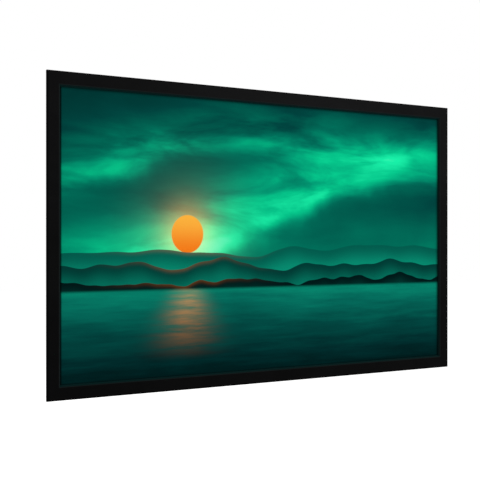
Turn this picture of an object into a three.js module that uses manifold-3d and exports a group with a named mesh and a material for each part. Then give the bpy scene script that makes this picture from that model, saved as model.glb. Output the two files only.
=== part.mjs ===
// Fixed frame projector screen, 100 inch diagonal, 16:9.
//
// Four mitred sides of extruded aluminium, wrapped in black velvet, hold a flat vinyl sheet. The sheet's
// hems run round fibreglass rods in a pocket behind the sides, and snap-in clips pull the rods outwards.
// Flat steel plates in the sides' back channel join the corners and the halves of the long sides. A bar
// behind the sheet keeps the long sides straight, and hooked brackets carry the frame on a wall.
//
// Lengths are in millimetres. X runs along the width, Y from the viewer towards the wall, and Z up. The
// origin is the centre of the whole object. In a side's own section, u is the distance inwards from the
// outer edge, and w is the depth from the front.

import * as THREE from "three";
import { mergeVertices } from "three/addons/utils/BufferGeometryUtils.js";
import Module from "manifold-3d";

const wasm = await Module();
wasm.setup();

// Driving dimensions: the picture
const pictureWidth = 2214;
const pictureHeight = 1245;

// The sides' section
const railFace = 62;
const railDepth = 30;
const railWall = 1.8;
const rimDepth = 10;
const edgeRadius = 1.2;
const bevelSize = 7;
const lipDepth = 11;
const pocketWidth = 20.2;

// The channel at the back of the sides
const channelWidth = 20;
const channelDepth = 6;
const channelMouth = 12;
const channelLip = 2;

// The toothed ledge that the clips snap onto
const ledgeReach = 4.2;
const toothWidth = 1.4;
const toothHeight = 1.6;

// The sheet, its hems and the rods in them
const sheetThickness = 0.5;
const sheetOverlap = 4;
const rodDiameter = 5.6;
const rodOverhang = 4;
const hemInset = 8.2;
const hemSetback = 75;
const hemFlap = 16;

// Clips
const clipWidth = 38;
const clipWall = 2;
const clipsOnLongSide = 10;
const clipsOnShortSide = 6;
const clipFingerAngle = 80;

// Joining plates and their holes
const plateThickness = 4;
const cornerPlateReach = 130;
const cornerPlateChamfer = 5;
const splicePlateLength = 220;
const grubHoleDiameter = 5;
const cornerHoleSpots = [62, 112];
const spliceHoleSpots = [32, 88];

// The upright bar behind the sheet
const barWidth = 30;
const barWall = 1.5;
const barCorner = 3;
const barClearance = 1.5;
const barEndGap = 2;
const tabThickness = 2;
const tabOnBar = 44;
const tabHoleDiameter = 4.4;
const tabHoleInset = 9;

// Wall brackets
const bracketWidth = 120;
const bracketSheet = 2;
const bracketBend = 2;
const bracketDrop = 34;
const bracketOffset = 700;
const wallGap = 8;
const flangeTipGap = 1;
const slotLength = 24;
const slotWidth = 6;
const slotOffset = 38;

// The gap left between pieces that touch
const seat = 0.3;

// Sizes and places worked out from the driving dimensions
const outerWidth = pictureWidth + 2 * railFace;
const outerHeight = pictureHeight + 2 * railFace;
const wallFace = railDepth + wallGap;
const front = -wallFace / 2;

const pocketStart = railFace - pocketWidth;
const channelEnd = pocketStart - railWall;
const channelStart = channelEnd - channelWidth;
const channelMiddle = (channelStart + channelEnd) / 2;
const channelOuterWall = channelStart - railWall;
const mouthStart = channelMiddle - channelMouth / 2;
const mouthEnd = channelMiddle + channelMouth / 2;
const lipFront = railDepth - channelLip;
const channelFloor = lipFront - channelDepth;
const webFront = channelFloor - railWall;

const ledgeEdge = pocketStart + ledgeReach;
const toothInner = ledgeEdge - toothWidth;
const toothFront = lipFront - toothHeight;

const sheetFront = lipDepth + seat;
const sheetBack = sheetFront + sheetThickness;
const flapBack = sheetBack + sheetThickness;
const hemBore = rodDiameter / 2 + seat;
const hemRadius = hemBore + sheetThickness;
const hemU = pocketStart + hemInset;
const hemW = sheetFront + hemRadius;
const hemBack = hemW + hemRadius;

const plateBack = lipFront - seat;
const plateFront = plateBack - plateThickness;

// Facets of a full circle, of a bend and of a small rounded edge
const ROUND_STEPS = 16;
const BEND_STEPS = 4;
const EDGE_STEPS = 2;

// Points closer than this are one corner of a solid
const MERGE_DISTANCE = 1e-3;

// Materials
const velvet = new THREE.MeshStandardMaterial({ color: 0x121212, roughness: 0.95, metalness: 0 });
const pictureSheet = new THREE.MeshStandardMaterial({ color: 0x0c6657, roughness: 0.9, metalness: 0 });
const zincSteel = new THREE.MeshStandardMaterial({ color: 0xa6a9ae, roughness: 0.38, metalness: 1 });
const satinAluminium = new THREE.MeshStandardMaterial({ color: 0xb3b4b5, roughness: 0.42, metalness: 1 });
const fibreglass = new THREE.MeshStandardMaterial({ color: 0xdad6c8, roughness: 0.45, metalness: 0 });
const clipPlastic = new THREE.MeshStandardMaterial({ color: 0x1a1a1b, roughness: 0.55, metalness: 0 });

// Points on an arc, both ends included. Angles are in degrees.
function arc(x, y, radius, from, to, steps) {
  return Array.from({ length: steps + 1 }, (_, i) => {
    const angle = THREE.MathUtils.degToRad(from + ((to - from) * i) / steps);
    return [x + radius * Math.cos(angle), y + radius * Math.sin(angle)];
  });
}

function circle(x, y, diameter) {
  return arc(x, y, diameter / 2, 0, 360, ROUND_STEPS).slice(1);
}

function roundedRectangle(width, height, radius) {
  const x = width / 2 - radius;
  const y = height / 2 - radius;
  return [
    ...arc(x, y, radius, 0, 90, BEND_STEPS),
    ...arc(-x, y, radius, 90, 180, BEND_STEPS),
    ...arc(-x, -y, radius, 180, 270, BEND_STEPS),
    ...arc(x, -y, radius, 270, 360, BEND_STEPS),
  ];
}

function roundEndedSlot(length, width) {
  const x = (length - width) / 2;
  return [
    ...arc(x, 0, width / 2, -90, 90, ROUND_STEPS / 2),
    ...arc(-x, 0, width / 2, 90, 270, ROUND_STEPS / 2),
  ];
}

function shapeOf(points, holes = []) {
  const vectors = (list) => list.map(([x, y]) => new THREE.Vector2(x, y));
  const shape = new THREE.Shape(vectors(points));
  shape.holes = holes.map((hole) => new THREE.Path(vectors(hole)));
  return shape;
}

function extrude(shape, depth) {
  return new THREE.ExtrudeGeometry(shape, { depth, steps: 1, bevelEnabled: false });
}

// A section drawn in u and w, swept along X from one end to the other. The outer edge comes to z = 0.
function sweep(section, from, to) {
  return extrude(section, to - from).rotateY(Math.PI / 2).translate(from, 0, 0);
}

// A flat outline drawn in X and Z, with its front face at depth w.
function flatPlate(shape, w, thickness) {
  return extrude(shape, thickness).rotateX(Math.PI / 2).translate(0, w + thickness, 0);
}

function solidOf(geometry) {
  const bare = new THREE.BufferGeometry();
  bare.setAttribute("position", geometry.getAttribute("position"));
  const merged = mergeVertices(bare, MERGE_DISTANCE);
  const mesh = new wasm.Mesh({
    numProp: 3,
    vertProperties: merged.getAttribute("position").array,
    triVerts: new Uint32Array(merged.index.array),
  });
  return new wasm.Manifold(mesh);
}

function geometryOf(solid) {
  const { vertProperties, triVerts } = solid.getMesh();
  const geometry = new THREE.BufferGeometry();
  geometry.setAttribute("position", new THREE.BufferAttribute(vertProperties, 3));
  geometry.setIndex(new THREE.BufferAttribute(triVerts, 1));
  const faceted = geometry.toNonIndexed();
  faceted.computeVertexNormals();
  return faceted;
}

function piece(name, geometry, material) {
  const mesh = new THREE.Mesh(geometry, material);
  mesh.name = name;
  return mesh;
}

// The aluminium section: a closed chamber behind the face, a channel open to the back, a bevelled inner
// lip that the sheet bears on, and a toothed ledge beside the pocket.
function railSection() {
  const taperSlope = (lipFront - rimDepth) / channelOuterWall;
  const taperWall = railWall * Math.hypot(1, taperSlope);
  const bevelWall = railWall * Math.tan(Math.PI / 8);

  const outside = [
    ...arc(edgeRadius, edgeRadius, edgeRadius, 180, 270, EDGE_STEPS),
    [railFace - bevelSize, 0],
    [railFace, bevelSize],
    [railFace, lipDepth],
    [railFace - railWall, lipDepth],
    [railFace - railWall, bevelSize + bevelWall],
    [railFace - bevelSize - bevelWall, railWall],
    [pocketStart, railWall],
    [pocketStart, lipFront],
    [toothInner, lipFront],
    [toothInner, toothFront],
    [ledgeEdge, toothFront],
    [ledgeEdge, railDepth],
    [mouthEnd, railDepth],
    [mouthEnd, lipFront],
    [channelEnd, lipFront],
    [channelEnd, channelFloor],
    [channelStart, channelFloor],
    [channelStart, lipFront],
    [mouthStart, lipFront],
    [mouthStart, railDepth],
    [channelOuterWall, railDepth],
    [channelOuterWall, lipFront],
    [0, rimDepth],
  ];
  const chamber = [
    [railWall, railWall],
    [channelEnd, railWall],
    [channelEnd, webFront],
    [(webFront - rimDepth + taperWall) / taperSlope, webFront],
    [railWall, rimDepth + taperSlope * railWall - taperWall],
  ];
  return shapeOf(outside, [chamber]);
}

// A length of rail from x = from to x = to. A mitred end is cut back by the distance from the outer edge.
function railGeometry(from, to, mitredStart, mitredEnd) {
  const geometry = extrude(railSection(), to - from);
  const place = geometry.getAttribute("position");
  const seam = seat * Math.SQRT1_2;
  for (let i = 0; i < place.count; i++) {
    const cut = place.getX(i) + seam;
    const atStart = place.getZ(i) === 0;
    if (atStart && mitredStart) place.setZ(i, cut);
    if (!atStart && mitredEnd) place.setZ(i, place.getZ(i) - cut);
  }
  geometry.rotateY(Math.PI / 2).translate(from, 0, 0);
  geometry.computeVertexNormals();
  return geometry;
}

// The clip's section: a tongue behind the rail's tooth, a bridge at the back, and a claw round the hem.
function clipSection() {
  const hookLeg = ledgeEdge + seat;
  const hookBack = toothFront - seat;
  const clawInner = hemRadius + seat;
  const clawOuter = clawInner + clipWall;
  const tipW = flapBack + seat;
  const tipAngle = THREE.MathUtils.radToDeg(Math.asin((tipW - hemW) / clawInner));
  const legAngle = THREE.MathUtils.radToDeg(Math.acos(clawInner / clawOuter));

  return shapeOf([
    [pocketStart + seat, hookBack - clipWall],
    [hookLeg + clipWall, hookBack - clipWall],
    [hookLeg + clipWall, railDepth - clipWall],
    [hemU + clawInner, railDepth - clipWall],
    ...arc(hemU, hemW, clawOuter, legAngle, clipFingerAngle, EDGE_STEPS),
    ...arc(hemU, hemW, clawInner, clipFingerAngle, tipAngle, 2 * BEND_STEPS),
    [hemU + clawOuter, tipW],
    [hemU + clawOuter, railDepth],
    [hookLeg, railDepth],
    [hookLeg, hookBack],
    [toothInner - seat, hookBack],
    [toothInner - seat, lipFront - seat],
    [pocketStart + seat, lipFront - seat],
  ]);
}

// One hem in section: the sheet turned back round the rod and welded to itself.
function hemSection() {
  const flapAngle = -THREE.MathUtils.radToDeg(Math.asin((hemW - flapBack) / hemRadius));
  const outside = [
    [hemU + hemFlap, sheetFront],
    ...arc(hemU, hemW, hemRadius, -90, flapAngle - 360, ROUND_STEPS),
    [hemU + hemFlap, flapBack],
  ];
  return shapeOf(outside, [circle(hemU, hemW, 2 * hemBore)]);
}

// Half the length of the hem on a side, given half the side's own length.
function hemHalf(halfSide) {
  return halfSide - hemSetback;
}

// The vinyl sheet with its corners notched and a hem along each side.
function sheetGeometry() {
  const halfWidth = outerWidth / 2;
  const halfHeight = outerHeight / 2;
  const cornerInset = railFace - railWall - sheetOverlap;
  const hemX = hemHalf(halfWidth);
  const hemZ = hemHalf(halfHeight);
  const edgeX = halfWidth - hemU;
  const edgeZ = halfHeight - hemU;
  const cornerX = halfWidth - cornerInset;
  const cornerZ = halfHeight - cornerInset;
  const corners = [
    [hemX, edgeZ],
    [hemX, cornerZ],
    [cornerX, cornerZ],
    [cornerX, hemZ],
    [edgeX, hemZ],
  ];
  const quarter = (signX, signZ) => corners.map(([x, z]) => [signX * x, signZ * z]);
  const flat = shapeOf([
    ...quarter(1, 1),
    ...quarter(1, -1).reverse(),
    ...quarter(-1, -1),
    ...quarter(-1, 1).reverse(),
  ]);
  let sheet = solidOf(flatPlate(flat, sheetFront, sheetThickness));
  for (const side of sides) {
    const half = hemHalf(side.half);
    const hem = sweep(hemSection(), -half, half).translate(0, 0, side.reach).rotateY(side.turn);
    sheet = sheet.add(solidOf(hem));
  }
  return geometryOf(sheet);
}

// An L-shaped plate for the channels of two sides, drawn from the frame's outer corner at the origin.
function cornerPlateGeometry() {
  const near = channelStart + seat;
  const far = channelEnd - seat;
  const outside = [
    [-near - cornerPlateChamfer, -near],
    [-cornerPlateReach, -near],
    [-cornerPlateReach, -far],
    [-far, -far],
    [-far, -cornerPlateReach],
    [-near, -cornerPlateReach],
    [-near, -near - cornerPlateChamfer],
  ];
  const holes = cornerHoleSpots.flatMap((spot) => [
    circle(-spot, -channelMiddle, grubHoleDiameter),
    circle(-channelMiddle, -spot, grubHoleDiameter),
  ]);
  return flatPlate(shapeOf(outside, holes), plateFront, plateThickness);
}

// A straight plate across the joint in a long side. Its middle hole takes the screw of the bar's end tab.
function splicePlateGeometry() {
  const halfLength = splicePlateLength / 2;
  const near = -channelStart - seat;
  const far = -channelEnd + seat;
  const outside = [
    [halfLength, near],
    [-halfLength, near],
    [-halfLength, far],
    [halfLength, far],
  ];
  const spots = [0, ...spliceHoleSpots, ...spliceHoleSpots.map((x) => -x)];
  const holes = spots.map((x) => circle(x, -channelMiddle, grubHoleDiameter));
  return flatPlate(shapeOf(outside, holes), plateFront, plateThickness);
}

// The upright bar: a flat rectangular tube between the ledges of the two long sides.
function barGeometry() {
  const barFront = hemBack + barClearance;
  const barDepth = railDepth - barFront;
  const halfLength = outerHeight / 2 - ledgeEdge - barEndGap;
  const outside = roundedRectangle(barWidth, barDepth, barCorner);
  const bore = roundedRectangle(barWidth - 2 * barWall, barDepth - 2 * barWall, barCorner - barWall);
  const tube = extrude(shapeOf(outside, [bore]), 2 * halfLength);
  return tube.translate(0, barFront + barDepth / 2, -halfLength);
}

// A flat tab that ties an end of the bar to the channel of the long side.
function barTabGeometry() {
  const top = -channelStart;
  const bottom = -(ledgeEdge + barEndGap + tabOnBar);
  const middle = (top + bottom) / 2;
  const barTop = -(ledgeEdge + barEndGap);
  const spots = [-channelMiddle, barTop - tabHoleInset, bottom + tabHoleInset];
  const outside = roundedRectangle(barWidth, top - bottom, barCorner);
  const holes = spots.map((z) => circle(0, z - middle, tabHoleDiameter));
  return flatPlate(shapeOf(outside, holes), railDepth + seat, tabThickness).translate(0, 0, middle);
}

// A bent steel bracket. Its shelf's top is at z = 0, its flange stands up inside the rail's channel, and
// the slotted plate lies on the wall.
function bracketGeometry() {
  const flangeBack = lipFront - seat;
  const flangeFront = flangeBack - bracketSheet;
  const flangeTop = (channelWidth - channelMouth) / 2 + seat - flangeTipGap;
  const outerBend = bracketBend + bracketSheet;
  const plateInner = wallFace - bracketSheet;
  const section = shapeOf([
    [-flangeTop, flangeFront],
    ...arc(0, flangeFront + bracketSheet, bracketSheet, -90, 0, BEND_STEPS),
    ...arc(outerBend, plateInner - bracketBend, bracketBend, 180, 90, BEND_STEPS),
    [bracketDrop, plateInner],
    [bracketDrop, wallFace],
    ...arc(outerBend, wallFace - outerBend, outerBend, 90, 180, BEND_STEPS),
    [0, flangeBack],
    [-flangeTop, flangeBack],
  ]);
  const slot = shapeOf(roundEndedSlot(slotLength, slotWidth));
  const slotHeight = -(outerBend + bracketDrop) / 2;
  let bracket = solidOf(sweep(section, -bracketWidth / 2, bracketWidth / 2));
  for (const x of [-slotOffset, slotOffset]) {
    const cutter = flatPlate(slot, plateInner - bracketSheet, 3 * bracketSheet).translate(x, 0, slotHeight);
    bracket = bracket.subtract(solidOf(cutter));
  }
  return geometryOf(bracket);
}

// The four sides, each drawn as if at the top and then turned about Y to its place. A long side is made
// in two lengths, named here in the order in which they are drawn.
const longSide = { half: outerWidth / 2, reach: outerHeight / 2, clips: clipsOnLongSide };
const shortSide = { half: outerHeight / 2, reach: outerWidth / 2, clips: clipsOnShortSide, lengths: [] };
const sides = [
  { ...longSide, name: "top", turn: 0, lengths: ["left", "right"] },
  { ...shortSide, name: "right", turn: Math.PI / 2 },
  { ...longSide, name: "bottom", turn: Math.PI, lengths: ["right", "left"] },
  { ...shortSide, name: "left", turn: -Math.PI / 2 },
];

function buildSide(side) {
  const group = new THREE.Group();
  const rodSection = shapeOf(circle(hemU, hemW, rodDiameter));
  const end = side.half;
  const rodEnd = hemHalf(end) + rodOverhang;
  const joint = seat / 2;

  if (side.lengths.length === 2) {
    const [first, second] = side.lengths.map((hand) => `${side.name}_${hand}`);
    group.add(piece(`frame_rail_${first}`, railGeometry(-end, -joint, true, false), velvet));
    group.add(piece(`frame_rail_${second}`, railGeometry(joint, end, false, true), velvet));
    group.add(piece(`tension_rod_${first}`, sweep(rodSection, -rodEnd, -joint), fibreglass));
    group.add(piece(`tension_rod_${second}`, sweep(rodSection, joint, rodEnd), fibreglass));
    group.add(piece(`splice_plate_${side.name}`, splicePlateGeometry(), zincSteel));
    group.add(piece(`support_bar_tab_${side.name}`, barTabGeometry(), zincSteel));
  } else {
    group.add(piece(`frame_rail_${side.name}`, railGeometry(-end, end, true, true), velvet));
    group.add(piece(`tension_rod_${side.name}`, sweep(rodSection, -rodEnd, rodEnd), fibreglass));
  }

  const pitch = (2 * hemHalf(end)) / side.clips;
  const clip = sweep(clipSection(), -clipWidth / 2, clipWidth / 2);
  for (let i = 0; i < side.clips; i++) {
    const mesh = piece(`hem_clip_${side.name}_${i + 1}`, clip, clipPlastic);
    mesh.position.x = (i + 0.5) * pitch - hemHalf(end);
    group.add(mesh);
  }

  for (const mesh of group.children) mesh.position.z = side.reach;
  group.rotation.y = side.turn;
  return group;
}

function buildCorners() {
  const group = new THREE.Group();
  const plate = cornerPlateGeometry();
  const corners = [
    { name: "top_right", x: 1, z: 1, turn: 0 },
    { name: "bottom_right", x: 1, z: -1, turn: Math.PI / 2 },
    { name: "bottom_left", x: -1, z: -1, turn: Math.PI },
    { name: "top_left", x: -1, z: 1, turn: -Math.PI / 2 },
  ];
  for (const corner of corners) {
    const mesh = piece(`corner_plate_${corner.name}`, plate, zincSteel);
    mesh.position.set((corner.x * outerWidth) / 2, 0, (corner.z * outerHeight) / 2);
    mesh.rotation.y = corner.turn;
    group.add(mesh);
  }
  return group;
}

// The top brackets carry the outer lip of the top rails, and the bottom ones hook behind the inner lip of
// the bottom rails.
function buildBrackets() {
  const group = new THREE.Group();
  const bracket = bracketGeometry();
  const shelves = [
    { name: "top", z: outerHeight / 2 - mouthStart - seat },
    { name: "bottom", z: -outerHeight / 2 + mouthEnd - seat },
  ];
  for (const shelf of shelves) {
    for (const [hand, sign] of [["left", -1], ["right", 1]]) {
      const mesh = piece(`wall_bracket_${shelf.name}_${hand}`, bracket, zincSteel);
      mesh.position.set(sign * bracketOffset, 0, shelf.z);
      group.add(mesh);
    }
  }
  return group;
}

const screen = new THREE.Group();
screen.position.y = front;
for (const side of sides) screen.add(buildSide(side));
screen.add(buildCorners());
screen.add(piece("screen_sheet", sheetGeometry(), pictureSheet));
screen.add(piece("support_bar", barGeometry(), satinAluminium));
screen.add(buildBrackets());

export default screen;
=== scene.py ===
"""Looks of a fixed frame projector screen: velvet on the frame, the lit sheet, and the bare metal behind.

Metres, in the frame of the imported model: X along the width, Y from the viewer to the wall, Z up. In a
side's own section, u is the distance inwards from the outer edge and w the depth from the front.
"""

import math

import bmesh
import bpy
from mathutils import Matrix, Vector


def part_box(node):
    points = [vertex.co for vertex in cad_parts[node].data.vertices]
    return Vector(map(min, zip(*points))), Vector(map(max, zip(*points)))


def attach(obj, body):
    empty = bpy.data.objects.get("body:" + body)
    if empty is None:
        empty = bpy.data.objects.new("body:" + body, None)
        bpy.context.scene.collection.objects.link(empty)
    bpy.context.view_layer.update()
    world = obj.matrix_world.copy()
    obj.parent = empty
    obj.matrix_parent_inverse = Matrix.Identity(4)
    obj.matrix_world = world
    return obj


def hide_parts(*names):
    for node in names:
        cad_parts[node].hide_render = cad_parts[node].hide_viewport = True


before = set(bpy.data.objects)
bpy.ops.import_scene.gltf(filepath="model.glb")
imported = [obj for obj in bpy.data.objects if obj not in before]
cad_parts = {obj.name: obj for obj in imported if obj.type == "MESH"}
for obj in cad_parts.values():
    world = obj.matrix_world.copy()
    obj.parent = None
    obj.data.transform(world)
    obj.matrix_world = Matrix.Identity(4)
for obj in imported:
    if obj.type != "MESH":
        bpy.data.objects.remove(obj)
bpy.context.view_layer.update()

# The whole frame, its front plane and the picture's opening, from the rails' boxes
LEFT_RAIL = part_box("frame_rail_left")
TOP_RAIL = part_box("frame_rail_top_left")
HALF_WIDTH = -LEFT_RAIL[0][0]
HALF_HEIGHT = TOP_RAIL[1][2]
FRONT = LEFT_RAIL[0][1]
RAIL_FACE = LEFT_RAIL[1][0] - LEFT_RAIL[0][0]
RAIL_DEPTH = LEFT_RAIL[1][1] - LEFT_RAIL[0][1]
PICTURE_HALF_WIDTH = HALF_WIDTH - RAIL_FACE
PICTURE_HALF_HEIGHT = HALF_HEIGHT - RAIL_FACE

# The rails' section
RIM_DEPTH = 0.010
BEVEL = 0.007
LIP_DEPTH = 0.011
TAPER_END = 0.0182
BACK_LIP_FRONT = RAIL_DEPTH - 0.002
CHANNEL_MIDDLE = 0.030

# The velvet: thickness, turn over the back lip, softness round an edge, and its soft end at a joint
VELVET = 0.0005
VELVET_TURN = 0.004
VELVET_ROUND = 0.0012
VELVET_END = 0.0006
VELVET_END_DROP = 0.0003
GLUE_GAP = 0.0001

# The velvet's darkest tone, and the painted light that it gains upwards, rightwards, to the upper right and
# at the middle of the top
VELVET_BASE_TONE = 0.0034
PAINTED_LIGHT_GAINS = (0.0018, 0.0006, 0.0012, 0.0022)

# Painted shade: how much darker the velvet is at the frame's top, bottom, left and right outer edges, and
# how far inwards
OUTER_EDGE_PAINTED_SHADES = (0.45, 0.75, 0.75, 0.0)
EDGE_REACH = 0.0042

# The velvet's line of wear along the outer ridge of the bevel, with a painted highlight: its colour,
# softness and strength
WORN_HIGHLIGHT_VELVET = (0.017, 0.017, 0.018, 1.0)
WORN_HIGHLIGHT_REACH = 0.0016
WORN_HIGHLIGHT_SHARE = 0.5

# The picture's light on the bevel: its colour, and its share at the upright sides and at the level ones
PICTURE_SPILL = (0.0018, 0.0160, 0.0155, 1.0)
SPILL_UPRIGHT = 0.5
SPILL_LEVEL = 0.9

# The sheet and its hems
SHEET_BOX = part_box("screen_sheet")
SHEET_FRONT = SHEET_BOX[0][1]
SHEET_THICKNESS = 0.0005
HEM_RADIUS = 0.0036
HEM_U = HALF_WIDTH - SHEET_BOX[1][0] + HEM_RADIUS
HEM_SETBACK = 0.075
HEM_FLAP = 0.016
SHEET_CORNER = 0.0562
PICTURE_EDGE = RAIL_FACE - 0.001
WELD_GAP = 0.00005

# Screws: the faces that they sit in, their places from the corner, the splice and the outer edge, and sizes
PLATE_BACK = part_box("splice_plate_top")[1][1]
TAB_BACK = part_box("support_bar_tab_top")[1][1]
CORNER_HOLES = (0.062, 0.112)
SPLICE_HOLES = (0.032, 0.088)
TAB_HOLES = (0.030, 0.057, 0.083)
GRUB_SIZES = {"Diameter": 0.0048, "Length": 0.0036, "Socket": 0.0025}
PAN_SIZES = {"Head": 0.0082, "Thread": 0.0038, "Length": 0.0022}

# The camera, fitted to the photograph's outlines. Its rise is 3 of the photograph's 480 pixels
CAMERA_PLACE = (-3.335, -4.366, -0.030)
CAMERA_TURN = math.radians(-35.90)
CAMERA_LENS = 87.22
CAMERA_RISE = 3 / 480

# The floor: how far below the frame, its half size, and its own light, which makes it read as white
FLOOR_DROP = 0.9
FLOOR_REACH = 30.0
FLOOR_GLOW = 0.52

# The share of white that the world sheds on the frame, and each lamp's place, width and power in watts
WORLD_LEVEL = 0.58
FRONT_LAMP = ((2.2, -4.4, 4.4), 5.0, 230.0)
BACK_LAMP = ((-2.6, 4.4, 3.8), 5.0, 190.0)


class Wiring:
    """Adds nodes to one tree and joins them."""

    def __init__(self, tree):
        self.tree = tree

    def node(self, kind, settings=None, **inputs):
        made = self.tree.nodes.new(kind)
        for name, value in (settings or {}).items():
            setattr(made, name, value)
        for name, value in inputs.items():
            self.feed(made.inputs[name.replace("_", " ")], value)
        return made

    def feed(self, socket, value):
        if isinstance(value, bpy.types.NodeSocket):
            self.tree.links.new(value, socket)
        else:
            socket.default_value = value

    def math(self, operation, *values, clamp=False):
        made = self.node("ShaderNodeMath", {"operation": operation, "use_clamp": clamp})
        for socket, value in zip(made.inputs, values):
            self.feed(socket, value)
        return made.outputs[0]

    def add(self, *values):
        total = values[0]
        for value in values[1:]:
            total = self.math("ADD", total, value)
        return total

    def times(self, *values):
        product = values[0]
        for value in values[1:]:
            product = self.math("MULTIPLY", product, value)
        return product

    def least(self, *values):
        smallest = values[0]
        for value in values[1:]:
            smallest = self.math("MINIMUM", smallest, value)
        return smallest

    def minus(self, a, b):
        return self.math("SUBTRACT", a, b)

    def swing(self, value, size):
        """A noise value from 0 to 1 turned into one from -size / 2 to size / 2."""
        return self.times(self.minus(value, 0.5), size)

    def step(self, value, low, high):
        """0 below low, 1 above high, and smooth between."""
        made = self.node("ShaderNodeMapRange", {"interpolation_type": "SMOOTHSTEP"}, Value=value)
        self.feed(made.inputs["From Min"], low)
        self.feed(made.inputs["From Max"], high)
        return made.outputs[0]

    def bell(self, distance, width):
        """1 where distance is 0, falling off smoothly over width."""
        ratio = self.math("DIVIDE", distance, width)
        return self.math("EXPONENT", self.times(ratio, ratio, -1.0))

    def noise(self, vector, scale, detail=3.0, roughness=0.5, distortion=0.0):
        made = self.node(
            "ShaderNodeTexNoise",
            Vector=vector, Scale=scale, Detail=detail, Roughness=roughness, Distortion=distortion,
        )
        return made.outputs["Fac"]

    def noise_line(self, place, detail=2.0):
        """Noise along a line, from 0 to 1."""
        made = self.node("ShaderNodeTexNoise", {"noise_dimensions": "1D"}, W=place, Scale=1.0, Detail=detail)
        return made.outputs["Fac"]

    def blend(self, amount, a, b, kind="MIX"):
        made = self.node("ShaderNodeMix", {"data_type": "RGBA", "blend_type": kind})
        self.feed(made.inputs["Factor"], amount)
        self.feed(made.inputs[6], a)
        self.feed(made.inputs[7], b)
        return made.outputs[2]

    def ramp(self, amount, stops):
        made = self.node("ShaderNodeValToRGB", Fac=amount)
        marks = made.color_ramp.elements
        while len(marks) < len(stops):
            marks.new(1.0)
        for mark, (place, colour) in zip(marks, stops):
            mark.position = place
            mark.color = (*colour, 1.0)
        return made.outputs["Color"]

    def stretched(self, vector, scale, turn=0.0):
        """The place squeezed by scale, after a turn about the depth axis."""
        made = self.node("ShaderNodeMapping", Vector=vector, Rotation=(0.0, turn, 0.0), Scale=scale)
        return made.outputs["Vector"]

    def object_place(self):
        return self.node("ShaderNodeTexCoord").outputs["Object"]

    def axes(self, vector):
        parts = self.node("ShaderNodeSeparateXYZ", Vector=vector).outputs
        return parts["X"], parts["Y"], parts["Z"]


def rgba(red, green, blue):
    return (red, green, blue, 1.0)


# Shader groups shared by several finishes


def make_group(name, inputs, output):
    """A shader group with number inputs and one number output. Returns the group, its wiring and ends."""
    group = bpy.data.node_groups.new(name, "ShaderNodeTree")
    for label, value in inputs.items():
        socket = group.interface.new_socket(label, in_out="INPUT", socket_type="NodeSocketFloat")
        socket.default_value = value
    group.interface.new_socket(output, in_out="OUTPUT", socket_type="NodeSocketFloat")
    start = group.nodes.new("NodeGroupInput")
    end = group.nodes.new("NodeGroupOutput")
    return group, Wiring(group), start.outputs, end.inputs


def make_grain():
    """Fine even grain, as a height from 0 to 1."""
    group, w, given, result = make_group("Fine grain", {"Scale": 900.0, "Contrast": 0.5}, "Height")
    place = w.object_place()
    fine = w.noise(place, given["Scale"], 2.0, 0.6)
    coarse = w.noise(place, w.times(given["Scale"], 0.21), 2.0)
    mixed = w.add(w.times(w.swing(fine, 1.4), given["Contrast"]), w.swing(coarse, 0.5), 0.5)
    w.feed(result["Height"], mixed)
    return group


def make_drawn_lines():
    """Lines left by a die along one direction. Each Across input is the lines' fineness along that axis."""
    fineness = {"Across X": 1.0, "Across Y": 900.0, "Across Z": 900.0}
    group, w, given, result = make_group("Drawn lines", fineness, "Height")
    scale = w.node("ShaderNodeCombineXYZ")
    for axis in "XYZ":
        w.feed(scale.inputs[axis], given[f"Across {axis}"])
    lined = w.stretched(w.object_place(), scale.outputs[0])
    w.feed(result["Height"], w.noise(lined, 1.0, 3.0, 0.65))
    return group


def make_handling():
    """Faint smudges and dust, from 0 on a clean surface to 1."""
    group, w, given, result = make_group("Handling marks", {"Scale": 9.0}, "Mask")
    patches = w.noise(w.object_place(), given["Scale"], 5.0, 0.62, 0.4)
    w.feed(result["Mask"], w.step(patches, 0.42, 0.72))
    return group


GRAIN = make_grain()
DRAWN_LINES = make_drawn_lines()
HANDLING = make_handling()


# Finishes


def new_finish(name, **shader):
    """A material with a Principled shader set to plain values. Returns the material, wiring and shader."""
    material = bpy.data.materials.new(name)
    material.use_nodes = True
    wiring = Wiring(material.node_tree)
    surface = material.node_tree.nodes["Principled BSDF"]
    for label, value in shader.items():
        surface.inputs[label.replace("_", " ")].default_value = value
    return material, wiring, surface


def use_group(w, group, **inputs):
    made = w.node("ShaderNodeGroup", {"node_tree": group}, **inputs)
    return made.outputs[0]


def roughen(w, surface, height, strength, depth):
    bump = w.node("ShaderNodeBump", Height=height, Strength=strength, Distance=depth)
    w.feed(surface.inputs["Normal"], bump.outputs["Normal"])


def gaps_to_edges(w, x, z, half_width, half_height):
    """How far inwards a place is from a rectangle's top, bottom, left and right edges."""
    return w.minus(half_height, z), w.add(z, half_height), w.add(x, half_width), w.minus(half_width, x)


def painted_light_tone(w, x, z):
    """The velvet's mean tone with painted light: darkest at the lower left, lightest at the middle of the
    top.
    """
    rightward = w.step(x, -HALF_WIDTH, HALF_WIDTH)
    upward = w.step(z, -HALF_HEIGHT, HALF_HEIGHT)
    crown = w.times(upward, w.bell(w.minus(x, 0.1), 0.8))
    corner = w.times(upward, rightward)
    amounts = (upward, rightward, corner, crown)
    return w.add(VELVET_BASE_TONE, *[w.times(amount, gain) for amount, gain in zip(amounts, PAINTED_LIGHT_GAINS)])


def painted_outer_edge_shade(w, gaps):
    """1 over the velvet's face, and less at its outer edge and rim: painted shade, most at the left and
    bottom, none at the right.
    """
    shades = [w.times(w.bell(gap, EDGE_REACH), depth) for gap, depth in zip(gaps, OUTER_EDGE_PAINTED_SHADES)]
    return w.math("SUBTRACT", 1.0, w.add(*shades), clamp=True)


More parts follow.
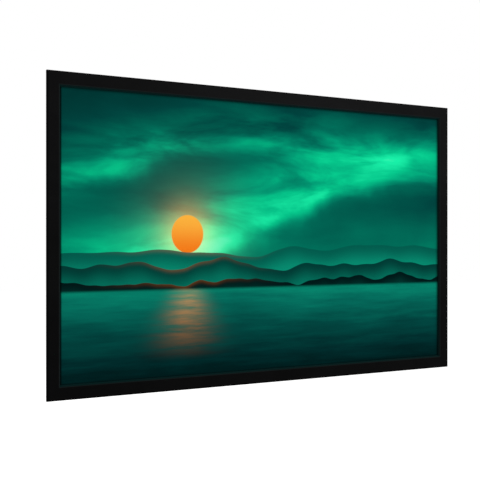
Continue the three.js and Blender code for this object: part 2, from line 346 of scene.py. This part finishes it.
def picture_spill(w, gaps, u):
    """How much of the picture's light the velvet takes on: none over most of the face, most at the lip."""
    from_top, from_bottom, from_left, from_right = gaps
    level = w.math("LESS_THAN", w.least(from_top, from_bottom), w.least(from_left, from_right))
    share = w.add(SPILL_UPRIGHT, w.times(level, SPILL_LEVEL - SPILL_UPRIGHT))
    return w.times(w.step(u, RAIL_FACE - 1.6 * BEVEL, RAIL_FACE), share)


def velvet_finish():
    """Black velvet with a short brushed pile, painted light and shade, and wear with a painted highlight
    along the bevel.
    """
    material, w, surface = new_finish(
        "velvet",
        Roughness=1.0, Specular_IOR_Level=0.0, Sheen_Weight=0.02, Sheen_Roughness=0.45,
    )
    place = w.object_place()
    pile = use_group(w, GRAIN, Scale=1500.0, Contrast=1.0)
    brushed = w.noise(w.stretched(place, (1.0, 1.0, 1.6), 0.6), 5.0, 4.0, 0.55, 0.6)
    x, _, z = w.axes(place)
    gaps = gaps_to_edges(w, x, z, HALF_WIDTH, HALF_HEIGHT)
    u = w.least(*gaps)
    lean = w.math("ADD", w.swing(brushed, 0.5), w.add(0.5, w.swing(pile, 0.9)), clamp=True)
    # Painted light makes the tone lighter upwards and rightwards, and painted shade darkens the outer edges
    tone = w.times(painted_light_tone(w, x, z), w.add(0.45, w.times(lean, 1.1)), painted_outer_edge_shade(w, gaps))
    black = w.blend(1.0, tone, rgba(1.0, 1.0, 1.03), "MULTIPLY")
    # Wear along the bevel's outer ridge, with a painted highlight on it
    ridge = w.bell(w.minus(u, RAIL_FACE - BEVEL), WORN_HIGHLIGHT_REACH)
    worn_highlit = w.blend(w.times(ridge, w.add(0.5, brushed), WORN_HIGHLIGHT_SHARE), black, WORN_HIGHLIGHT_VELVET)
    w.feed(surface.inputs["Base Color"], w.blend(picture_spill(w, gaps, u), worn_highlit, PICTURE_SPILL))
    roughen(w, surface, pile, 0.6, 0.0005)
    return material


def aluminium_finish(name, along):
    """Mill-finish aluminium, with die lines along the given axis."""
    material, w, surface = new_finish(name, Metallic=1.0)
    across = {f"Across_{axis}": 3.0 if axis == along else 700.0 for axis in "XYZ"}
    lines = use_group(w, DRAWN_LINES, **across)
    marks = use_group(w, HANDLING, Scale=11.0)
    bright = w.ramp(lines, [(0.28, (0.34, 0.345, 0.35)), (0.72, (0.52, 0.525, 0.53))])
    w.feed(surface.inputs["Base Color"], w.blend(w.times(marks, 0.4), bright, rgba(0.30, 0.30, 0.30)))
    w.feed(surface.inputs["Roughness"], w.add(0.36, w.times(lines, 0.12), w.times(marks, 0.16)))
    roughen(w, surface, lines, 0.35, 0.0003)
    return material


def zinc_finish():
    """Bright zinc plating over steel sheet, a little blue, with a faint crystal pattern."""
    material, w, surface = new_finish("zinc_steel", Metallic=1.0)
    crystals = w.node("ShaderNodeTexVoronoi", Vector=w.object_place(), Scale=260.0, Randomness=1.0)
    tone = w.node("ShaderNodeSeparateColor", Color=crystals.outputs["Color"]).outputs["Red"]
    marks = use_group(w, HANDLING, Scale=24.0)
    colour = w.ramp(tone, [(0.0, (0.33, 0.345, 0.37)), (1.0, (0.43, 0.445, 0.465))])
    w.feed(surface.inputs["Base Color"], w.blend(w.times(marks, 0.45), colour, rgba(0.25, 0.26, 0.27)))
    w.feed(surface.inputs["Roughness"], w.add(0.30, w.times(tone, 0.10), w.times(marks, 0.2)))
    roughen(w, surface, use_group(w, GRAIN, Scale=1300.0), 0.15, 0.0001)
    return material


def clip_finish():
    """Moulded black acetal, with a fine mould grain and a little dust."""
    material, w, surface = new_finish("clip_plastic", Specular_IOR_Level=0.4)
    grain = use_group(w, GRAIN, Scale=1800.0)
    marks = use_group(w, HANDLING, Scale=30.0)
    colour = w.blend(w.times(marks, 0.5), rgba(0.010, 0.010, 0.011), rgba(0.028, 0.028, 0.028))
    w.feed(surface.inputs["Base Color"], colour)
    w.feed(surface.inputs["Roughness"], w.add(0.38, w.times(grain, 0.2)))
    roughen(w, surface, grain, 0.3, 0.0001)
    return material


def fibreglass_finish(name, along):
    """Pultruded rod: off-white, with the glass strands along it."""
    material, w, surface = new_finish(name, Specular_IOR_Level=0.5)
    across = {f"Across_{axis}": 4.0 if axis == along else 2200.0 for axis in "XYZ"}
    strands = use_group(w, DRAWN_LINES, **across)
    colour = w.ramp(strands, [(0.3, (0.50, 0.46, 0.36)), (0.7, (0.74, 0.70, 0.60))])
    w.feed(surface.inputs["Base Color"], colour)
    w.feed(surface.inputs["Roughness"], w.add(0.36, w.times(strands, 0.2)))
    roughen(w, surface, strands, 0.3, 0.0001)
    return material


def sheet_back_finish():
    """Dark grey knitted backing of the vinyl."""
    material, w, surface = new_finish("sheet_back", Specular_IOR_Level=0.15)
    place = w.object_place()
    loops = []
    for axis in "XZ":
        bands = w.node(
            "ShaderNodeTexWave", {"bands_direction": axis},
            Vector=place, Scale=420.0, Distortion=0.6,
        )
        loops.append(bands.outputs["Fac"])
    knit = w.times(*loops)
    fade = w.noise(place, 2.2, 3.0)
    tone = w.add(w.times(knit, 0.6), w.times(fade, 0.4))
    colour = w.ramp(tone, [(0.15, (0.013, 0.013, 0.014)), (0.75, (0.034, 0.034, 0.036))])
    w.feed(surface.inputs["Base Color"], colour)
    w.feed(surface.inputs["Roughness"], w.add(0.78, w.times(knit, 0.15)))
    roughen(w, surface, knit, 0.4, 0.0002)
    return material


def hem_finish():
    """White vinyl outside the picture, with the crossed lines that the welding bar pressed into the hem."""
    material, w, surface = new_finish("hem_vinyl", Specular_IOR_Level=0.2)
    place = w.object_place()
    pressed = []
    for turn in (math.pi / 4, -math.pi / 4):
        bands = w.node(
            "ShaderNodeTexWave", {"bands_direction": "X"},
            Vector=w.stretched(place, (1.0, 1.0, 1.0), turn), Scale=105.0, Distortion=0.0,
        )
        pressed.append(bands.outputs["Fac"])
    weld = w.math("MAXIMUM", *pressed)
    marks = use_group(w, HANDLING, Scale=13.0)
    colour = w.blend(w.times(marks, 0.35), rgba(0.66, 0.66, 0.64), rgba(0.47, 0.47, 0.45))
    w.feed(surface.inputs["Base Color"], w.blend(w.times(weld, 0.18), colour, rgba(0.40, 0.40, 0.39)))
    w.feed(surface.inputs["Roughness"], w.add(0.55, w.times(weld, 0.15)))
    roughen(w, surface, weld, 0.5, 0.0003)
    return material


# The picture shown on the sheet: soft bands of green light over rounded, misty hills and a low amber sun

# The sky's colours, from its darkest place to its brightest
SKY = [
    (0.00, (0.0004, 0.018, 0.019)),
    (0.18, (0.0004, 0.058, 0.050)),
    (0.38, (0.0005, 0.150, 0.098)),
    (0.58, (0.0008, 0.310, 0.168)),
    (0.78, (0.0020, 0.560, 0.255)),
    (0.93, (0.0100, 0.840, 0.380)),
    (1.00, (0.0900, 0.950, 0.520)),
]
# Each band of light: its height, slope, swing, bends and phase, and its softness above and below its line
MAIN_BAND = ((0.06, 0.26, 0.075, 2.4, 0.5), (0.24, 0.075))
HIGH_BAND = ((0.40, 0.10, 0.06, 3.1, 2.3), (0.15, 0.06))
# Each ridge: its height, swing, bends to a metre, place in the noise, and its crest and foot colours
RIDGES = [
    (-0.060, 0.110, 1.2, 3.7, (0.0010, 0.105, 0.074), (0.0026, 0.270, 0.168)),
    (-0.135, 0.090, 1.9, 8.2, (0.0006, 0.042, 0.034), (0.0018, 0.180, 0.118)),
    (-0.205, 0.060, 3.1, 5.1, (0.0004, 0.009, 0.009), (0.0009, 0.068, 0.050)),
]
# The flat ground's colours, from its far edge to the nearest
PLAIN = [
    (0.00, (0.0024, 0.230, 0.150)),
    (0.22, (0.0014, 0.140, 0.102)),
    (0.50, (0.0008, 0.064, 0.054)),
    (0.80, (0.0006, 0.026, 0.026)),
    (1.00, (0.0005, 0.013, 0.0135)),
]
PLAIN_TOP = -0.235
# The sun: its place, its disc, each glow's reach and strength, how far it lights the hills, and its colours
SUN_PLACE = (-0.47, 0.010)
SUN_RADIUS = 0.086
SUN_GLOWS = ((0.115, 0.66), (0.22, 0.07))
SUN_SPREAD = 0.26
AMBER = rgba(0.93, 0.20, 0.010)
PALE_AMBER = rgba(1.0, 0.46, 0.050)
WARM = rgba(0.90, 0.24, 0.01)
SHADOW = rgba(0.0003, 0.002, 0.002)
# Where the frame's soft shadow starts and ends at the picture's top, bottom, left and right edges
EDGE_SHADOWS = ((-0.012, 0.015), (-0.006, 0.008), (0.003, 0.014), (-0.010, 0.022))


def light_band(w, x, z, line, widths):
    """One band of light. Its line climbs and swings, and it is softer above than below."""
    height, slope, swing, bends, phase = line
    above, below = widths
    wave = w.times(w.math("SINE", w.add(w.times(x, bends), phase)), swing)
    distance = w.minus(z, w.add(height, w.times(x, slope), wave))
    width = w.add(below, w.times(w.math("GREATER_THAN", distance, 0.0), above - below))
    return w.bell(distance, width)


def sky_light(w, place, x, z):
    """How bright the sky is, from 0 to 1."""
    haze = w.noise(place, 1.3, 4.0, 0.5, 0.7)
    z_bent = w.add(z, w.swing(haze, 0.20))
    streaks = w.noise(w.stretched(place, (0.9, 1.0, 3.4), -0.22), 1.7, 5.0, 0.55, 0.4)
    cover = w.step(streaks, 0.26, 0.70)
    main_band = light_band(w, x, z_bent, *MAIN_BAND)
    high_band = light_band(w, x, z_bent, *HIGH_BAND)
    low_glow = w.bell(w.minus(z, -0.08), 0.26)
    light = w.add(
        0.17,
        w.times(main_band, w.add(0.34, w.times(cover, 0.46))),
        w.times(high_band, w.add(0.08, w.times(cover, 0.48))),
        w.times(low_glow, w.add(0.10, w.times(haze, 0.26))),
        w.swing(streaks, 0.26),
    )
    dim = w.step(w.add(x, w.times(z, 0.9)), 0.5, 1.75)
    night = w.step(z, 0.28, PICTURE_HALF_HEIGHT)
    even = w.times(light, w.minus(1.0, w.times(dim, 0.4)), w.minus(1.0, w.times(night, 0.36)))
    return w.math("SMOOTH_MIN", even, 1.0, 0.45, clamp=True)


def sun_colours(w, colour, across, up):
    """The glow round the sun, and its disc."""
    reach = w.math("SQRT", w.add(w.times(across, across), w.times(up, up)))
    glow = w.add(*[w.times(w.bell(reach, spread), strength) for spread, strength in SUN_GLOWS])
    colour = w.blend(glow, colour, WARM, "ADD")
    disc = w.minus(1.0, w.step(reach, SUN_RADIUS - 0.004, SUN_RADIUS + 0.002))
    face = w.blend(w.step(up, -SUN_RADIUS, SUN_RADIUS), AMBER, PALE_AMBER)
    return w.blend(disc, colour, face)


def hill_colours(w, colour, x, z, spread):
    """Rounded hills, each dark at its crest and pale with mist at its foot."""
    for height, swing, bends, phase, crest, foot in RIDGES:
        line = w.noise_line(w.add(w.times(x, bends), phase))
        below = w.minus(w.add(height, w.swing(line, 2 * swing)), z)
        body = w.blend(w.step(below, 0.0, 0.12), rgba(*crest), rgba(*foot))
        rim_light = w.times(spread, w.bell(below, 0.012), 0.11)
        body = w.blend(rim_light, body, WARM, "ADD")
        colour = w.blend(w.step(below, -0.0012, 0.0012), colour, body)
    return colour


def plain_colours(w, place, z, across):
    """The flat ground in front, with the sun's light along it. Also gives its depth below its top."""
    depth = w.minus(PLAIN_TOP, z)
    share = w.math("DIVIDE", depth, PICTURE_HALF_HEIGHT + PLAIN_TOP)
    ripples = w.noise(w.stretched(place, (1.0, 1.0, 12.0)), 2.6, 6.0, 0.62)
    mist = w.noise(place, 1.1, 3.0, 0.5)
    plain = w.ramp(w.add(share, w.swing(ripples, 0.55), w.swing(mist, 0.35)), PLAIN)
    width = w.add(0.055, w.times(share, 0.13))
    fading = w.minus(1.0, w.step(share, 0.0, 0.85))
    broken = w.step(ripples, 0.34, 0.66)
    trail = w.times(w.bell(across, width), fading, w.add(0.10, w.times(broken, 0.50)))
    return w.blend(trail, plain, WARM, "ADD"), depth


def edge_shade(w, x, z):
    """1 over most of the picture, falling towards its edges in the frame's soft shadow."""
    gaps = gaps_to_edges(w, x, z, PICTURE_HALF_WIDTH, PICTURE_HALF_HEIGHT)
    return w.times(*[w.step(gap, start, end) for gap, (start, end) in zip(gaps, EDGE_SHADOWS)])


def picture_colour(w):
    """The whole picture, laid down from the sky to the ground in front."""
    place = w.object_place()
    x, _, z = w.axes(place)
    colour = w.ramp(sky_light(w, place, x, z), SKY)
    across = w.minus(x, SUN_PLACE[0])
    colour = sun_colours(w, colour, across, w.minus(z, SUN_PLACE[1]))
    colour = hill_colours(w, colour, x, z, w.bell(across, SUN_SPREAD))
    plain, depth = plain_colours(w, place, z, across)
    colour = w.blend(w.step(depth, -0.006, 0.012), colour, plain)
    return w.blend(edge_shade(w, x, z), SHADOW, colour)


def picture_finish():
    """Matt white vinyl with the picture's light on it."""
    material, w, surface = new_finish("picture_sheet", Roughness=0.9, Specular_IOR_Level=0.0)
    w.feed(surface.inputs["Base Color"], picture_colour(w))
    roughen(w, surface, use_group(w, GRAIN, Scale=1600.0), 0.12, 0.0001)
    return material


# Meshes


def object_of(name, mesh_data, *materials):
    made = bpy.data.objects.new(name, mesh_data)
    bpy.context.scene.collection.objects.link(made)
    for material in materials:
        mesh_data.materials.append(material)
    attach(made, "root")
    return made


def rounded_path(points, radius, steps=5):
    """The corners of an open path in a plane, each turned into an arc. A short leg gets a smaller arc."""
    made = [points[0]]
    for before, corner, after in zip(points, points[1:], points[2:]):
        arms = [Vector(before) - Vector(corner), Vector(after) - Vector(corner)]
        half_angle = arms[0].angle(arms[1]) / 2
        reach = min(radius / math.tan(half_angle), 0.45 * min(arm.length for arm in arms))
        ends = [Vector(corner) + arm.normalized() * reach for arm in arms]
        for i in range(steps + 1):
            t = i / steps
            bend = ends[0] * (1 - t) ** 2 + Vector(corner) * (2 * t * (1 - t)) + ends[1] * t**2
            made.append(tuple(bend))
    made.append(points[-1])
    return made


def moved_out(points, distance):
    """An open path of straight legs, moved outwards with its corners kept sharp."""
    made = []
    for i, point in enumerate(points):
        legs = []
        if i > 0:
            legs.append((Vector(point) - Vector(points[i - 1])).normalized())
        if i < len(points) - 1:
            legs.append((Vector(points[i + 1]) - Vector(point)).normalized())
        normals = [Vector((leg.y, -leg.x)) for leg in legs]
        middle = sum(normals, Vector((0.0, 0.0))).normalized()
        made.append(tuple(Vector(point) + middle * (distance / middle.dot(normals[0]))))
    return made


# Each side is drawn as if it were the top and turned about Y. Its turn, how far its outer edge is from the
# frame's middle, and half its length
SIDES = {
    "top": (0.0, HALF_HEIGHT, HALF_WIDTH),
    "right": (math.pi / 2, HALF_WIDTH, HALF_HEIGHT),
    "bottom": (math.pi, HALF_HEIGHT, HALF_WIDTH),
    "left": (-math.pi / 2, HALF_WIDTH, HALF_HEIGHT),
}


def side_place(side, x, u, w):
    """The point at x along a side, u inwards and w behind the front."""
    turn, reach, _ = SIDES[side]
    return Matrix.Rotation(turn, 3, "Y") @ Vector((x, FRONT + w, reach - u))


def velvet_section(thickness):
    """The velvet in section, as a closed loop: from the back lip round the rim and face to the inner lip."""
    bare = [
        (TAPER_END + VELVET_TURN, RAIL_DEPTH),
        (TAPER_END, RAIL_DEPTH),
        (TAPER_END, BACK_LIP_FRONT),
        (0.0, RIM_DEPTH),
        (0.0, 0.0),
        (RAIL_FACE - BEVEL, 0.0),
        (RAIL_FACE, BEVEL),
        (RAIL_FACE, LIP_DEPTH),
    ]
    inner = rounded_path(moved_out(bare, GLUE_GAP), VELVET_ROUND / 2)
    outer = rounded_path(moved_out(bare, thickness), VELVET_ROUND)
    return outer + inner[::-1]


def velvet_ring(side, place, inward, mitred, thickness):
    """The velvet's section set at a place along a side. At a corner of the frame it leans by the mitre."""
    return [
        side_place(side, place + inward * u if mitred else place, u, w)
        for u, w in velvet_section(thickness)
    ]


def velvet_wrap(name, side, start, end, material):
    """The velvet of one rail from x = start to x = end, with a soft shallow groove at each joint."""
    half = SIDES[side][2]
    rings = []
    for x, inward in ((start, 1.0), (end, -1.0)):
        mitred = abs(abs(x) - half) < 1e-6
        near = velvet_ring(side, x, inward, mitred, VELVET - VELVET_END_DROP)
        full = velvet_ring(side, x + inward * VELVET_END, inward, mitred, VELVET)
        rings += [near, full] if inward > 0 else [full, near]
    shape = bmesh.new()
    rows = [[shape.verts.new(point) for point in ring] for ring in rings]
    count = len(rows[0])
    for row, next_row in zip(rows, rows[1:]):
        for i in range(count):
            j = (i + 1) % count
            shape.faces.new((row[i], row[j], next_row[j], next_row[i]))
    shape.faces.new(list(reversed(rows[0])))
    shape.faces.new(rows[-1])
    bmesh.ops.recalc_face_normals(shape, faces=shape.faces)
    for face in shape.faces:
        face.smooth = len(face.verts) == 4
    mesh_data = bpy.data.meshes.new(name)
    shape.to_mesh(mesh_data)
    shape.free()
    mesh_data.set_sharp_from_angle(angle=math.radians(50))
    wrap = object_of(name, mesh_data, material)
    evened = wrap.modifiers.new("flat faces", "WEIGHTED_NORMAL")
    evened.keep_sharp = True


def build_velvet(finish):
    velvet_wrap("velvet_top_left", "top", -HALF_WIDTH, 0.0, finish)
    velvet_wrap("velvet_top_right", "top", 0.0, HALF_WIDTH, finish)
    velvet_wrap("velvet_bottom_right", "bottom", -HALF_WIDTH, 0.0, finish)
    velvet_wrap("velvet_bottom_left", "bottom", 0.0, HALF_WIDTH, finish)
    velvet_wrap("velvet_left", "left", -HALF_HEIGHT, HALF_HEIGHT, finish)
    velvet_wrap("velvet_right", "right", -HALF_HEIGHT, HALF_HEIGHT, finish)


def hem_path(steps=30):
    """The sheet's outer skin in section, from the flat front round the rod's hem to the end of the flap."""
    sheet_w = SHEET_FRONT - FRONT
    centre = sheet_w + HEM_RADIUS
    flap_w = sheet_w + 2 * SHEET_THICKNESS + WELD_GAP
    sweep = 1.5 * math.pi - math.asin((centre - flap_w) / HEM_RADIUS)
    path = []
    for i in range(steps + 1):
        angle = sweep * i / steps
        path.append((HEM_U - HEM_RADIUS * math.sin(angle), centre - HEM_RADIUS * math.cos(angle)))
    path.append((HEM_U + HEM_FLAP, flap_w))
    return path


def sheet_marks(half):
    """Where the flat sheet's grid lines lie along one axis, from one hem's fold to the other."""
    distances = [HEM_U, SHEET_CORNER, PICTURE_EDGE, HEM_SETBACK]
    outer = [half - distance for distance in distances]
    return [-place for place in outer] + outer[::-1]


def add_flat_sheet(shape):
    """The flat of the sheet. Its outermost strips end at the hems' ends, so its corners are cut out."""
    columns = sheet_marks(HALF_WIDTH)
    rows = sheet_marks(HALF_HEIGHT)
    last = len(columns) - 2
    middle = last // 2
    corners = [[shape.verts.new((x, SHEET_FRONT, z)) for z in rows] for x in columns]
    for i in range(last + 1):
        for j in range(last + 1):
            in_outer_column = i in (0, last)
            in_outer_row = j in (0, last)
            if (in_outer_column and j != middle) or (in_outer_row and i != middle):
                continue
            shape.faces.new((corners[i][j], corners[i + 1][j], corners[i + 1][j + 1], corners[i][j + 1]))
    loose = [vert for vert in shape.verts if not vert.link_faces]
    bmesh.ops.delete(shape, geom=loose, context="VERTS")


def add_hems(shape):
    """The four hems, each swept straight along its side between the sheet's notched corners."""
    for side, (_, _, half) in SIDES.items():
        ends = (-half + HEM_SETBACK, half - HEM_SETBACK)
        rings = [[shape.verts.new(side_place(side, x, u, w)) for x in ends] for u, w in hem_path()]
        for ring, next_ring in zip(rings, rings[1:]):
            shape.faces.new((ring[0], ring[1], next_ring[1], next_ring[0]))


def shows_picture(face):
    """Whether a face of the sheet lies in the frame's opening. The rest of the sheet is plain white."""
    middle = face.calc_center_median()
    inside = abs(middle.x) < HALF_WIDTH - PICTURE_EDGE and abs(middle.z) < HALF_HEIGHT - PICTURE_EDGE
    return inside and middle.y < SHEET_FRONT + SHEET_THICKNESS / 2


def build_sheet(picture, hem, back):
    """The vinyl sheet: a flat piece with notched corners, and a welded hem along each side."""
    shape = bmesh.new()
    add_flat_sheet(shape)
    add_hems(shape)
    bmesh.ops.remove_doubles(shape, verts=shape.verts, dist=1e-6)
    bmesh.ops.recalc_face_normals(shape, faces=shape.faces)
    widest = max(shape.faces, key=lambda face: face.calc_area())
    if widest.normal.y > 0:
        bmesh.ops.reverse_faces(shape, faces=shape.faces)
    for face in shape.faces:
        face.smooth = True
        face.material_index = 0 if shows_picture(face) else 1
    mesh_data = bpy.data.meshes.new("vinyl_sheet")
    shape.to_mesh(mesh_data)
    shape.free()
    mesh_data.set_sharp_from_angle(angle=math.radians(40))
    sheet = object_of("vinyl_sheet", mesh_data, picture, hem, back)
    thicken = sheet.modifiers.new("thickness", "SOLIDIFY")
    thicken.thickness = SHEET_THICKNESS
    thicken.offset = -1.0
    thicken.material_offset = 2
    thicken.material_offset_rim = 2
    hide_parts("screen_sheet")


# Screws, made once and set on a list of points


def screw_tree(name, build, sizes):
    """A geometry tree that puts one screw on each point of the mesh it is given."""
    tree = bpy.data.node_groups.new(name, "GeometryNodeTree")
    tree.interface.new_socket("Geometry", in_out="INPUT", socket_type="NodeSocketGeometry")
    for label, value in sizes.items():
        socket = tree.interface.new_socket(label, in_out="INPUT", socket_type="NodeSocketFloat")
        socket.default_value = value
    tree.interface.new_socket("Finish", in_out="INPUT", socket_type="NodeSocketMaterial")
    tree.interface.new_socket("Geometry", in_out="OUTPUT", socket_type="NodeSocketGeometry")
    w = Wiring(tree)
    given = tree.nodes.new("NodeGroupInput").outputs
    end = tree.nodes.new("NodeGroupOutput")
    turned = w.node("GeometryNodeTransform", Geometry=build(w, given), Rotation=(-math.pi / 2, 0.0, 0.0))
    placed = w.node("GeometryNodeInstanceOnPoints", Points=given["Geometry"], Instance=turned.outputs[0])
    real = w.node("GeometryNodeRealizeInstances", Geometry=placed.outputs[0])
    dressed = w.node("GeometryNodeSetMaterial", Geometry=real.outputs[0], Material=given["Finish"])
    w.feed(end.inputs["Geometry"], dressed.outputs[0])
    return tree


def moved(w, geometry, **change):
    return w.node("GeometryNodeTransform", Geometry=geometry, **change).outputs[0]


def vector_of(w, x, y, z):
    return w.node("ShaderNodeCombineXYZ", X=x, Y=y, Z=z).outputs[0]


def cylinder(w, sides, radius, depth, top):
    """A solid cylinder along Z whose upper face is at height top."""
    made = w.node("GeometryNodeMeshCylinder", Vertices=sides, Radius=radius, Depth=depth)
    middle = w.minus(top, w.times(depth, 0.5))
    return moved(w, made.outputs["Mesh"], Translation=vector_of(w, 0.0, 0.0, middle))


def cut(w, solid, *tools):
    made = w.node("GeometryNodeMeshBoolean", {"operation": "DIFFERENCE", "solver": "EXACT"})
    w.feed(made.inputs["Mesh 1"], solid)
    for tool in tools:
        w.tree.links.new(tool, made.inputs["Mesh 2"])
    return made.outputs["Mesh"]


def grub_screw(w, sizes):
    """A socket set screw, level with the plate, with a hexagon recess."""
    shank = cylinder(w, 24, w.times(sizes["Diameter"], 0.5), sizes["Length"], 0.0)
    across_flats = sizes["Socket"]
    across_corners = w.times(across_flats, 2 / math.sqrt(3))
    recess = cylinder(w, 6, w.times(across_corners, 0.5), w.times(across_flats, 2.0), across_flats)
    return cut(w, shank, recess)


def pan_screw(w, sizes):
    """A pan head screw with a cross recess. Its head stands on z = 0."""
    flatness = 0.62
    sunk_in_head = 0.00005
    radius = w.times(sizes["Head"], 0.5)
    height = w.times(radius, flatness)
    ball = w.node("GeometryNodeMeshUVSphere", Segments=28, Rings=14, Radius=radius)
    dome = moved(w, ball.outputs["Mesh"], Scale=(1.0, 1.0, flatness))
    head = cut(w, dome, cylinder(w, 28, w.times(radius, 1.2), radius, 0.0))
    bars = []
    for across in (True, False):
        length = w.times(radius, 1.05)
        thickness = w.times(radius, 0.20)
        size = (length, thickness) if across else (thickness, length)
        bar = w.node("GeometryNodeMeshCube", Size=vector_of(w, *size, w.times(radius, 0.7)))
        bars.append(moved(w, bar.outputs["Mesh"], Translation=vector_of(w, 0.0, 0.0, height)))
    shank = cylinder(w, 20, w.times(sizes["Thread"], 0.5), sizes["Length"], sunk_in_head)
    joined = w.node("GeometryNodeJoinGeometry")
    for part in (cut(w, head, *bars), shank):
        w.tree.links.new(part, joined.inputs[0])
    return joined.outputs[0]


def place_screws(name, points, tree, values):
    """Runs the tree on the points and keeps the result as a plain mesh."""
    cloud = bpy.data.meshes.new(f"{name}_points")
    cloud.from_pydata(points, [], [])
    carrier = bpy.data.objects.new(f"{name}_carrier", cloud)
    bpy.context.scene.collection.objects.link(carrier)
    modifier = carrier.modifiers.new("screws", "NODES")
    modifier.node_group = tree
    for item in tree.interface.items_tree:
        if item.in_out == "INPUT" and item.name in values:
            modifier[item.identifier] = values[item.name]
    evaluated = carrier.evaluated_get(bpy.context.evaluated_depsgraph_get())
    mesh_data = bpy.data.meshes.new_from_object(evaluated)
    mesh_data.name = name
    bpy.data.objects.remove(carrier)
    object_of(name, mesh_data)


def corner_points():
    """Each hole of the four corner plates, on the plates' back face."""
    points = []
    for sign_x in (-1, 1):
        for sign_z in (-1, 1):
            for spot in CORNER_HOLES:
                for in_x, in_z in ((spot, CHANNEL_MIDDLE), (CHANNEL_MIDDLE, spot)):
                    points.append((sign_x * (HALF_WIDTH - in_x), PLATE_BACK, sign_z * (HALF_HEIGHT - in_z)))
    return points


def splice_points():
    """Each hole of the two splice plates, on the plates' back face."""
    places = [sign * spot for spot in SPLICE_HOLES for sign in (-1, 1)]
    height = HALF_HEIGHT - CHANNEL_MIDDLE
    return [(x, PLATE_BACK, sign * height) for x in places for sign in (-1, 1)]


def tab_points():
    """Each hole of the support bar's two tabs, on the tabs' back face."""
    return [(0.0, TAB_BACK, sign * (HALF_HEIGHT - u)) for u in TAB_HOLES for sign in (-1, 1)]


def build_screws(finish):
    grubs = screw_tree("Grub screws", grub_screw, GRUB_SIZES)
    place_screws("grub_screws", corner_points() + splice_points(), grubs, {**GRUB_SIZES, "Finish": finish})
    pans = screw_tree("Pan head screws", pan_screw, PAN_SIZES)
    place_screws("tab_screws", tab_points(), pans, {**PAN_SIZES, "Finish": finish})


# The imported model's own pieces

UPRIGHT_PIECES = ("frame_rail_left", "frame_rail_right", "tension_rod_left", "tension_rod_right")


def dress(name, material):
    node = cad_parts[name]
    node.data.materials.clear()
    node.data.materials.append(material)


def dress_nodes(finishes):
    """Gives each piece its finish. Rails and rods have theirs with the lines along the piece."""
    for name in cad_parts:
        way = "upright" if name in UPRIGHT_PIECES else "level"
        if name.startswith("frame_rail"):
            dress(name, finishes[f"aluminium_{way}"])
        elif name.startswith("tension_rod"):
            dress(name, finishes[f"rod_{way}"])
        elif name.startswith("hem_clip"):
            dress(name, finishes["clip"])
        elif name == "support_bar":
            dress(name, finishes["aluminium_upright"])
        elif name != "screen_sheet":
            dress(name, finishes["zinc"])


# Stage


def build_camera():
    camera = bpy.data.objects.new("camera", bpy.data.cameras.new("camera"))
    bpy.context.scene.collection.objects.link(camera)
    camera.data.lens = CAMERA_LENS
    camera.data.sensor_width = 36.0
    camera.data.shift_y = CAMERA_RISE
    camera.location = CAMERA_PLACE
    camera.rotation_euler = (math.pi / 2, 0.0, CAMERA_TURN)
    bpy.context.scene.camera = camera


def background_rays(w):
    """1 for a ray that should see the plain white background, and 0 for one that carries light."""
    path = w.node("ShaderNodeLightPath").outputs
    mirrored = w.math("MAXIMUM", path["Is Glossy Ray"], path["Is Transmission Ray"])
    return w.math("MAXIMUM", path["Is Camera Ray"], mirrored)


def build_world():
    world = bpy.data.worlds.new("studio")
    world.use_nodes = True
    bpy.context.scene.world = world
    w = Wiring(world.node_tree)
    background = world.node_tree.nodes["Background"]
    background.inputs["Color"].default_value = rgba(1.0, 1.0, 1.0)
    w.feed(background.inputs["Strength"], w.add(WORLD_LEVEL, w.times(background_rays(w), 1.0 - WORLD_LEVEL)))


def build_floor():
    height = -HALF_HEIGHT - FLOOR_DROP
    mesh_data = bpy.data.meshes.new("floor")
    signs = ((-1, -1), (1, -1), (1, 1), (-1, 1))
    corners = [(sign_x * FLOOR_REACH, sign_y * FLOOR_REACH, height) for sign_x, sign_y in signs]
    mesh_data.from_pydata(corners, [], [(0, 1, 2, 3)])
    floor = bpy.data.objects.new("floor", mesh_data)
    bpy.context.scene.collection.objects.link(floor)
    material, w, surface = new_finish("floor", Roughness=0.9, Specular_IOR_Level=0.0)
    surface.inputs["Base Color"].default_value = rgba(0.9, 0.9, 0.9)
    surface.inputs["Emission Color"].default_value = rgba(1.0, 1.0, 1.0)
    w.feed(surface.inputs["Emission Strength"], w.times(background_rays(w), FLOOR_GLOW))
    mesh_data.materials.append(material)


def build_lamp(name, place, size, power):
    lamp = bpy.data.objects.new(name, bpy.data.lights.new(name, "AREA"))
    bpy.context.scene.collection.objects.link(lamp)
    lamp.data.shape = "SQUARE"
    lamp.data.size = size
    lamp.data.energy = power
    lamp.location = place
    lamp.rotation_euler = (-Vector(place)).to_track_quat("-Z", "Y").to_euler()


def build_stage():
    bpy.context.scene.view_settings.view_transform = "Standard"
    build_camera()
    build_world()
    build_floor()
    build_lamp("front lamp", *FRONT_LAMP)
    build_lamp("back lamp", *BACK_LAMP)


def main():
    finishes = {
        "aluminium_level": aluminium_finish("aluminium_level", "X"),
        "aluminium_upright": aluminium_finish("aluminium_upright", "Z"),
        "zinc": zinc_finish(),
        "clip": clip_finish(),
        "rod_level": fibreglass_finish("rod_level", "X"),
        "rod_upright": fibreglass_finish("rod_upright", "Z"),
    }
    build_stage()
    dress_nodes(finishes)
    build_velvet(velvet_finish())
    build_sheet(picture_finish(), hem_finish(), sheet_back_finish())
    build_screws(finishes["zinc"])


main()
